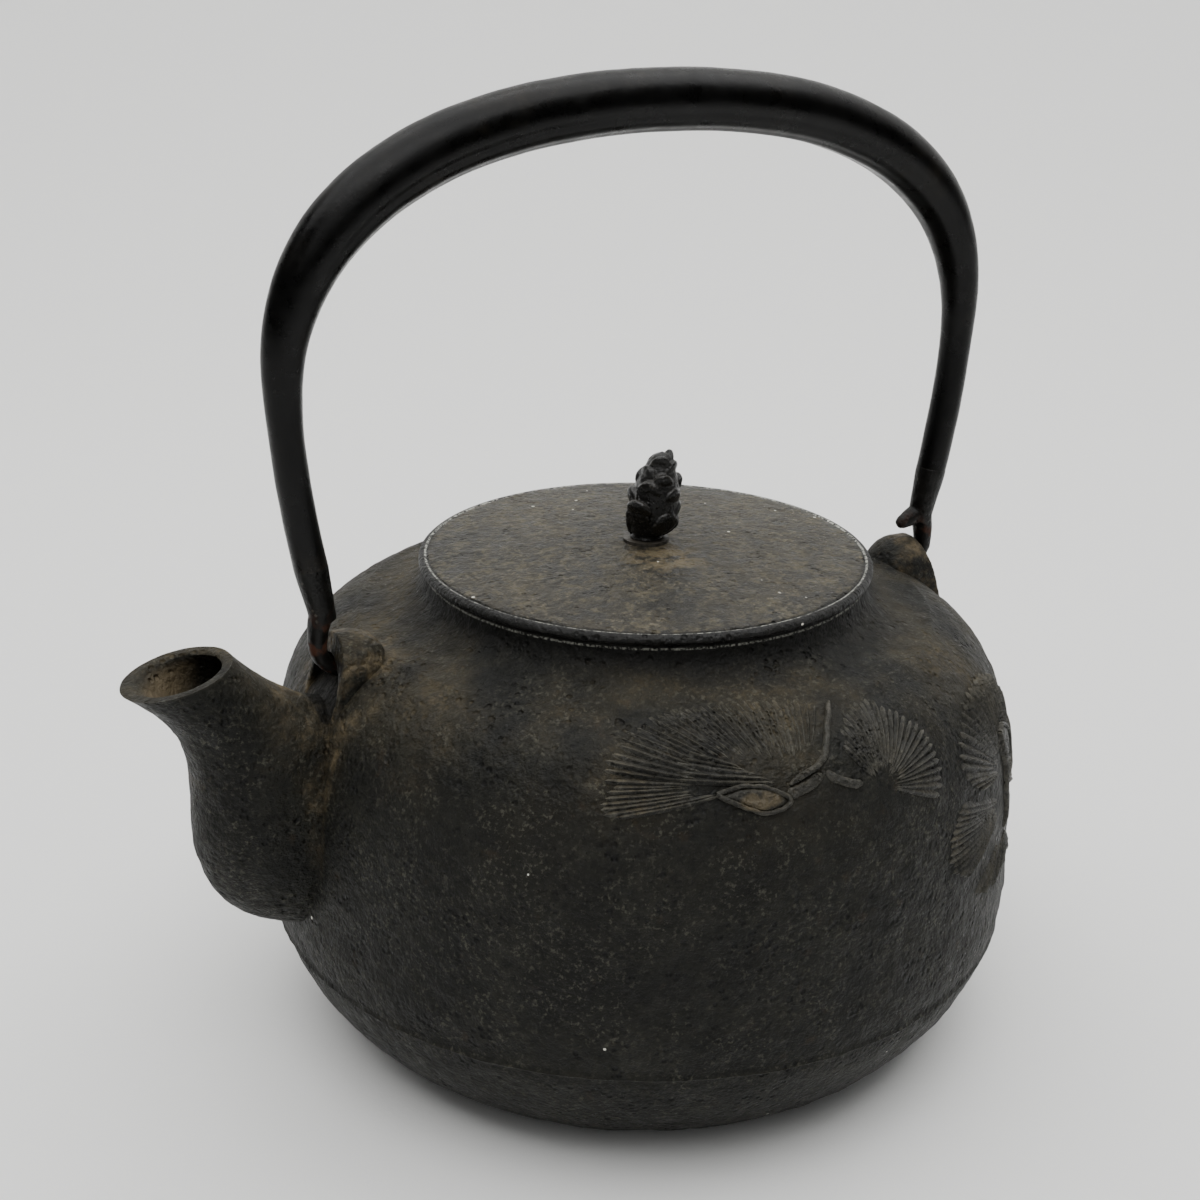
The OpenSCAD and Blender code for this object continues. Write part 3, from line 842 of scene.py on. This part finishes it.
def makeKnob():
    p = cone
    tall = knobTop - seatTop + p["extra"]
    rings = 16
    foot = p["foot"]
    core = [(0, seatTop), (foot, seatTop), (foot - 0.5, seatTop + 0.8), (foot - 0.3, seatTop + 1.8)]
    for i in range(rings):
        t = 0.08 + 0.92 * i / rings
        core.append((max(0.9, coneR(t) - 0.4), seatTop + tall * t))
    core.append((0, seatTop + tall - 0.4))
    parts = [spinRound(core, "core", 32)]
    clearAll()
    bpy.ops.mesh.primitive_uv_sphere_add(segments=12, ring_count=8, radius=1)
    scaleShape = bpy.context.object
    for vert in scaleShape.data.vertices:  # a thick leaf, blunt at its upper edge
        x, y, z = vert.co
        vert.co = (x * (0.3 + 0.12 * z), y * (1 - 0.25 * z * z), z)
    chance = random.Random(11)
    for i in range(p["scales"]):
        t = (i + 0.5) / p["scales"]
        height = 0.12 + 0.8 * t
        turn = i * radians(137.5) + chance.uniform(-0.15, 0.15)
        size = (3.9 - 1.6 * t) * chance.uniform(0.85, 1.15)
        out = coneR(height) - 0.95 + chance.uniform(-0.2, 0.25)
        lean = radians(6 + 12 * (1 - t)) + chance.uniform(-0.14, 0.14)
        if i == 7:  # one scale near the foot stands out
            out, lean = out + 0.9, radians(38)
            turn = radians(205)
        twin = copyOf(scaleShape)
        move = Matrix.Translation((0, 0, seatTop + tall * height)) @ Matrix.Rotation(turn, 4, "Z") \
            @ Matrix.Translation((out, 0, 0)) @ Matrix.Rotation(lean, 4, "Y") @ Matrix.Diagonal(
            (size, size * 0.95, size * 0.85, 1))
        for vert in twin.data.vertices:
            vert.co = (move @ vert.co) * mm
        parts.append(twin)
    bpy.data.objects.remove(scaleShape)
    obj = joinAll(parts, "cone")
    remesh(obj, p["voxel"], 14)
    way = Vector((cos(radians(p["leanWay"])), sin(radians(p["leanWay"])), 0))
    for vert in obj.data.vertices:  # the cone was set a little crooked
        up = max(0.0, vert.co.z / mm - seatTop)
        vert.co += way * mm * (up * sin(radians(p["lean"])) + p["shift"] * ease(up / 4))
    roughen(obj, [(3, 0.35), (1.2, 0.15)], lambda v: ease((v.z - seatTop) / 1.2))
    for vert in obj.data.vertices:
        vert.co.z = max(vert.co.z, seatTop * mm)
    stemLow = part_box("knob")[0].z / mm
    head = p["head"]
    line = [(0, stemLow), (head - 0.7, stemLow), (head, stemLow + 0.5), (head - 0.2, stemLow + 1.2),
        (p["stem"], stemLow + 1.2), (p["stem"], seatTop + 1), (0, seatTop + 1)]
    obj = joinAll([spinRound(line, "stem", 40), obj], "pine_cone")
    smooth(obj, 60)
    settle(obj, "pine_cone", "pine_knob", "cast_knob", castKnob, "knob")


makeKnob()

for nodeName in ("knob_seat", "knob_washer"):
    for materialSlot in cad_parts[nodeName].material_slots:
        materialSlot.material = knobFittings
print("fittings finished")

profile = []


def readProfile():  # distance along the outer line, with its radius, height and outward direction
    line = outerLine(3)
    travelled = 0.0
    for i, (r, z) in enumerate(line[:-1]):
        dr, dz = line[i + 1][0] - r, line[i + 1][1] - z
        size = max(1e-6, hypot(dr, dz))
        profile.append((travelled, r, z, dz / size, -dr / size))
        travelled += size


readProfile()


def alongAt(z):
    return min(profile, key=lambda spot: abs(spot[2] - z))[0]


def onBody(degrees, along, lift):  # a place on the pot's skin, in mm
    low, high = 0, len(profile) - 1
    while high - low > 1:
        middle = (low + high) // 2
        if profile[middle][0] < along:
            low = middle
        else:
            high = middle
    first, second = profile[low], profile[high]
    t = (along - first[0]) / max(1e-6, second[0] - first[0])
    s, r, z, outR, outZ = (a + (b - a) * t for a, b in zip(first, second))
    turn = radians(degrees)
    r += outR * lift
    return Vector((r * cos(turn), r * sin(turn), z + outZ * lift)) * mm


relief = {"needleW": 1.45, "needleH": 0.6, "rings": 12,
    "girth": [0.0, 0.5, 0.66, 0.76, 0.84, 0.9, 0.94, 0.97, 1.0, 1.0, 0.94, 0.75, 0.0]}


def needlePoint(ring, angle):  # along X from 0 to 1, thin at its root and blunt at its outer end
    size = relief["girth"][ring]
    x = ring / relief["rings"]
    x += 0.035 if ring == relief["rings"] - 1 else 0
    height = 0.5 + 0.5 * cos(pi * cos(angle)) if sin(angle) > -0.01 else -0.6
    return (x / mm, cos(angle) * size / mm, height * size / mm)


needleShape = tube("needle", relief["rings"], 12, needlePoint)


def surfaceMove(obj, start, end, width, height):  # from the needle's own axes onto the pot
    az0, z0 = start
    az1, z1 = end
    s0, s1 = alongAt(z0), alongAt(z1)
    r = onBody(az0, (s0 + s1) / 2, 0)
    r = hypot(r.x, r.y) / mm
    across = radians(az1 - az0) * r
    size = hypot(across, s1 - s0)
    sideX, sideS = -(s1 - s0) / size, across / size
    for vert in obj.data.vertices:
        u, w, h = vert.co
        s = s0 + (s1 - s0) * u + sideS * w * width / 2
        az = az0 + (az1 - az0) * u + sideX * w * width / 2 / radians(1) / r
        vert.co = onBody(az, s, h * height)


def spread(points, count):  # evenly spaced places along a broken line of (degrees, height)
    flat = [(az * 1.45, alongAt(z), az, z) for az, z in points]
    lengths = [hypot(b[0] - a[0], b[1] - a[1]) for a, b in zip(flat, flat[1:])]
    total = sum(lengths)
    found = []
    for i in range(count):
        want = total * i / (count - 1)
        k = 0
        while k < len(lengths) - 1 and want > lengths[k]:
            want -= lengths[k]
            k += 1
        t = want / lengths[k]
        a, b = flat[k], flat[k + 1]
        found.append((a[2] + (b[2] - a[2]) * t, a[3] + (b[3] - a[3]) * t))
    return found


def comb(inner, outer, count, scale=1.0):  # needles from one broken line out to another
    chance = random.Random(count)
    parts = []
    for root, tip in zip(spread(inner, count), spread(outer, count)):
        reach = 1 + chance.uniform(-0.04, 0.03)
        begin = chance.uniform(-0.1, 0.06)
        twin = copyOf(needleShape)
        surfaceMove(twin, tuple(r + (t - r) * begin for r, t in zip(root, tip)),
            tuple(r + (t - r) * reach for r, t in zip(root, tip)),
            relief["needleW"] * scale * chance.uniform(0.8, 1.15),
            relief["needleH"] * scale * chance.uniform(0.75, 1.2))
        parts.append(twin)
    return joinAll(parts, "needles")


def fan(centre, ends, count, start, scale=1.0):  # needles that all point away from one place
    inner = [tuple(c + (e - c) * start for c, e in zip(centre, end)) for end in ends]
    return comb(inner, ends, count, scale)


def ridge(name, spots, widths, heights):  # a rounded ridge along (degrees, height) places
    places = [(az, alongAt(z)) for az, z in spots]

    def at(ring, angle):
        az, s = places[ring]
        before, after = places[max(0, ring - 1)], places[min(len(places) - 1, ring + 1)]
        across, rise = (after[0] - before[0]) * 1.4, after[1] - before[1]
        size = hypot(across, rise)
        w = cos(angle) * widths[ring] / 2
        height = (0.3 + 0.7 * sin(angle)) if sin(angle) > 0.01 else -0.5
        spot = onBody(az - rise / size * w / 1.4, s + across / size * w, height * heights[ring])
        return tuple(spot / mm)

    return tube(name, len(places) - 1, 12, at)


def weave(points, count):  # a smooth line through the given places
    found = []
    for i in range(len(points) - 1):
        a, b = points[i], points[i + 1]
        p = points[max(0, i - 1)]
        n = points[min(len(points) - 1, i + 2)]
        for k in range(count):
            t = k / count
            found.append(tuple(0.5 * (2 * q + (r - o) * t + (2 * o - 5 * q + 4 * r - m) * t * t
                + (3 * q - o - 3 * r + m) * t ** 3) for o, q, r, m in zip(p, a, b, n)))
    return found + [points[-1]]


def branch(name, points, wide, high):
    line = weave(points, 4)
    last = len(line) - 1
    taper = [min(1.0, 0.35 + 5 * min(i, last - i) / last) for i in range(last + 1)]
    return ridge(name, line, [wide * t for t in taper], [high * t for t in taper])


def knot(outline, high):  # a bark knot: a raised rim round a smooth low centre
    line = weave(outline + [outline[0]], 4)
    rim = ridge("rim", line, [1.0] * len(line), [high] * len(line))
    midAz = sum(p[0] for p in outline) / len(outline)
    midZ = sum(p[1] for p in outline) / len(outline)
    loop = line[:-1]

    def at(ring, angle):
        spot = loop[round((angle % (2 * pi)) / (2 * pi) * len(loop)) % len(loop)]
        share = 1 - ring / 4
        az = midAz + (spot[0] - midAz) * share
        z = midZ + (spot[1] - midZ) * share
        lift = high * (0.4 + 1.4 * (1 - share) * share) - (1.2 if ring == 0 else 0)
        return tuple(onBody(az, alongAt(z), lift) / mm)

    return joinAll([tube("face", 4, len(loop), at, closed=False), rim], "knot")


# Places on the pot are (degrees round it, height in mm)
leftBranch = {
    "upperRoots": [(-112.5, 95), (-110.5, 96.2), (-109, 97.3), (-107.5, 98.4), (-105.5, 99.2), (-102.8, 98.9),
        (-100.2, 98.5), (-97.8, 98), (-95.2, 98.1), (-92.2, 98.9)],
    "upperTips": [(-125.2, 95.2), (-125, 97.6), (-123.6, 100.6), (-121.5, 102.4), (-117.8, 103.5),
        (-111.4, 104.3), (-104, 104.2), (-97.4, 104.3), (-92, 103.9), (-87.4, 103.3)],
    "longRoots": [(-104.5, 97.1), (-102.4, 95.8), (-100.7, 94.2)],
    "longTips": [(-112.3, 99.5), (-114.3, 98), (-114.8, 95.6)],
    "lowRoots": [(-113.8, 94.6), (-112, 93.8), (-110.4, 92.9), (-109.3, 92.5)],
    "lowTips": [(-123.5, 94.2), (-124.8, 92.5), (-125.4, 90.6), (-123.2, 88.9)],
    "trunk": [(-84.3, 103.2), (-86, 102), (-88.4, 100.2), (-90.9, 96.9), (-93, 95.4), (-95.8, 94.4),
        (-97.6, 93.4)],
    "cup": [(-92.2, 94.2), (-94.6, 92.8), (-96.6, 92.2), (-98.2, 92)],
    "side": [(-91.4, 94.4), (-90, 92.8), (-88.2, 91.6), (-86, 90.9)],
    "knot": [(-108.6, 93), (-105.3, 90.9), (-102.1, 89.2), (-99.4, 89.4), (-98, 90.6), (-98.9, 92),
        (-101.5, 93.5), (-105, 94.1)]}
middleFan = {"centre": (-82.8, 89.6), "tips": [(-86.8, 97.6), (-85.8, 99.8), (-83.2, 101.5), (-79.6, 102.5),
    (-76, 101.8), (-73, 99.7), (-70.5, 96.3), (-69.5, 92.6), (-69.5, 88.8), (-70.6, 85.4), (-71.4, 82.9)]}
rightBranch = {
    "fans": [  # centre, tips, number of needles, share of the way where they start
        ((-49.5, 76.1), [(-60.5, 78), (-64.5, 82.5), (-65.5, 87), (-63.5, 90.7), (-60.5, 93.8), (-56.5, 95.9),
            (-51.3, 96.6), (-46, 96.2), (-41.5, 94.4), (-38, 91.2), (-36, 87)], 24, 0.22),
        ((-51, 69.7), [(-66.3, 77.6), (-69.2, 74), (-70.3, 69.8), (-69.7, 64.1), (-65.8, 59.6)], 15, 0.22),
        ((-50, 62), [(-62.4, 53.4), (-58.4, 50.8), (-54, 50), (-48.2, 50.4), (-43, 52)], 11, 0.25),
        ((-46, 70), [(-33.5, 62), (-32, 67), (-32, 72), (-33.5, 77.5), (-36.5, 81.5)], 13, 0.3)],
    "stem": [(-48.4, 79), (-47.4, 75), (-48.6, 70.7), (-48, 66), (-49, 60.5)],
    "knot": [(-49.5, 84.6), (-48.8, 80), (-46.6, 76.4), (-44, 78), (-43.6, 81.6), (-46.6, 85)]}


def makeRelief():
    p = leftBranch
    parts = [comb(p["upperRoots"], p["upperTips"], 32), comb(p["longRoots"], p["longTips"], 5, 1.05),
        comb(p["lowRoots"], p["lowTips"], 7), branch("trunk", p["trunk"], 1.5, 0.95),
        branch("cup", p["cup"], 2.4, 0.55), branch("side", p["side"], 2.0, 0.6), knot(p["knot"], 0.7)]
    finishRelief(joinAll(parts, "pine_left"), "pine_left")
    finishRelief(fan(middleFan["centre"], middleFan["tips"], 27, 0.24), "pine_middle")
    p = rightBranch
    parts = [fan(centre, tips, count, start, 1.5) for centre, tips, count, start in p["fans"]]
    parts += [branch("stem", p["stem"], 2.0, 1.2), knot(p["knot"], 1.5)]
    finishRelief(joinAll(parts, "pine_right"), "pine_right")
    bpy.data.objects.remove(needleShape)


def finishRelief(obj, name):
    tidyMesh(obj)
    roughen(obj, [(5, 0.2), (1.6, 0.16)])
    smooth(obj, 60)
    settle(obj, name, "pot", "cast_body", castRelief)


makeRelief()

studio = {"floor": (0.9, 0.9, 0.885, 1), "wallAway": 0.85, "bend": 0.4, "sky": 0.5, "room": 0.3,
    "lamps": {"key": {"place": (0.95, 0.15, 1.1), "size": 1.6, "watts": 6.0},
        "top": {"place": (-0.05, 0.1, 1.5), "size": 2.4, "watts": 50.0},
        "front": {"place": (-0.5, -0.95, 1.35), "size": 1.6, "watts": 9.0}}}
cameraSetup = {"place": (-0.206, -0.3611, 0.2658), "aim": (-0.0103, 0.0009, 0.1045), "roll": 1.17,
    "lens": 55.5, "shift": (-0.004, 0.0007)}


def makeStudio():
    p = studio
    away, bend = p["wallAway"] / mm, p["bend"] / mm
    line = [(-1600, 0), (away - bend, 0)]
    line += [(away - bend + bend * sin(radians(a)), bend - bend * cos(radians(a))) for a in range(6, 91, 6)]
    line += [(away, 1800)]
    sweep = drawLine(line, "sweep")
    editAll(sweep)
    bpy.ops.mesh.extrude_region_move(TRANSFORM_OT_translate={"value": (0, 4, 0)})
    leaveEdit()
    look = Vector(cameraSetup["aim"]) - Vector(cameraSetup["place"])
    for vert in sweep.data.vertices:
        vert.co.y -= 2
    sweep.rotation_euler = (0, 0, atan2(look.y, look.x))
    freeze(sweep)
    smooth(sweep, 30)
    made, tree, spot = newMaterial("paperSweep")
    shaded = tuple(0.97 * c for c in p["floor"][:3]) + (1,)
    mottled = blend(tree, noise(tree, spot, 3.0, 2.0), p["floor"], shaded)
    fibre = add(tree, "Bump", {}, {"Strength": 0.05, "Distance": mm, "Height": noise(tree, spot, 900.0)})
    shader = add(tree, "BsdfPrincipled", {}, {"Base Color": mottled, "Roughness": 0.75,
        "Normal": fibre.outputs[0]})
    add(tree, "OutputMaterial", {}, {"Surface": shader.outputs[0]})
    sweep.data.materials.append(made)
    world = bpy.data.worlds.new("studioSky")
    bpy.context.scene.world = world
    world.use_nodes = True
    tree = world.node_tree
    front = Vector((-look.x, -look.y, 0)).normalized()
    sky = add(tree, "TexCoord").outputs["Generated"]
    toward = add(tree, "VectorMath", {"operation": "DOT_PRODUCT"}, {0: sky, 1: tuple(front)}).outputs["Value"]
    level = add(tree, "MapRange", {"interpolation_type": "SMOOTHSTEP"}, {"Value": toward, "From Min": -0.3,
        "From Max": 0.75, "To Min": p["sky"], "To Max": p["room"]}).outputs[0]
    tree.links.new(level, tree.nodes["Background"].inputs["Strength"])
    for name, lampLook in p["lamps"].items():
        data = bpy.data.lights.new(name + "Light", "AREA")
        data.shape = "SQUARE"
        data.size = lampLook["size"]
        data.energy = lampLook["watts"]
        lamp = bpy.data.objects.new(name + "Light", data)
        bpy.context.scene.collection.objects.link(lamp)
        lamp.location = lampLook["place"]
        lamp.rotation_euler = (Vector((0, 0, 0.1)) - lamp.location).to_track_quat("-Z", "Y").to_euler()


def makeCamera():
    p = cameraSetup
    data = bpy.data.cameras.new("camera")
    data.lens = p["lens"]
    data.sensor_width = 36
    data.shift_x, data.shift_y = p["shift"]
    camera = bpy.data.objects.new("camera", data)
    bpy.context.scene.collection.objects.link(camera)
    spot = Vector(p["place"])
    look = (Vector(p["aim"]) - spot).to_track_quat("-Z", "Y").to_matrix().to_4x4()
    camera.matrix_world = Matrix.Translation(spot) @ look @ Matrix.Rotation(radians(p["roll"]), 4, "Z")
    bpy.context.scene.camera = camera


makeStudio()
makeCamera()
print("studio and camera ready")
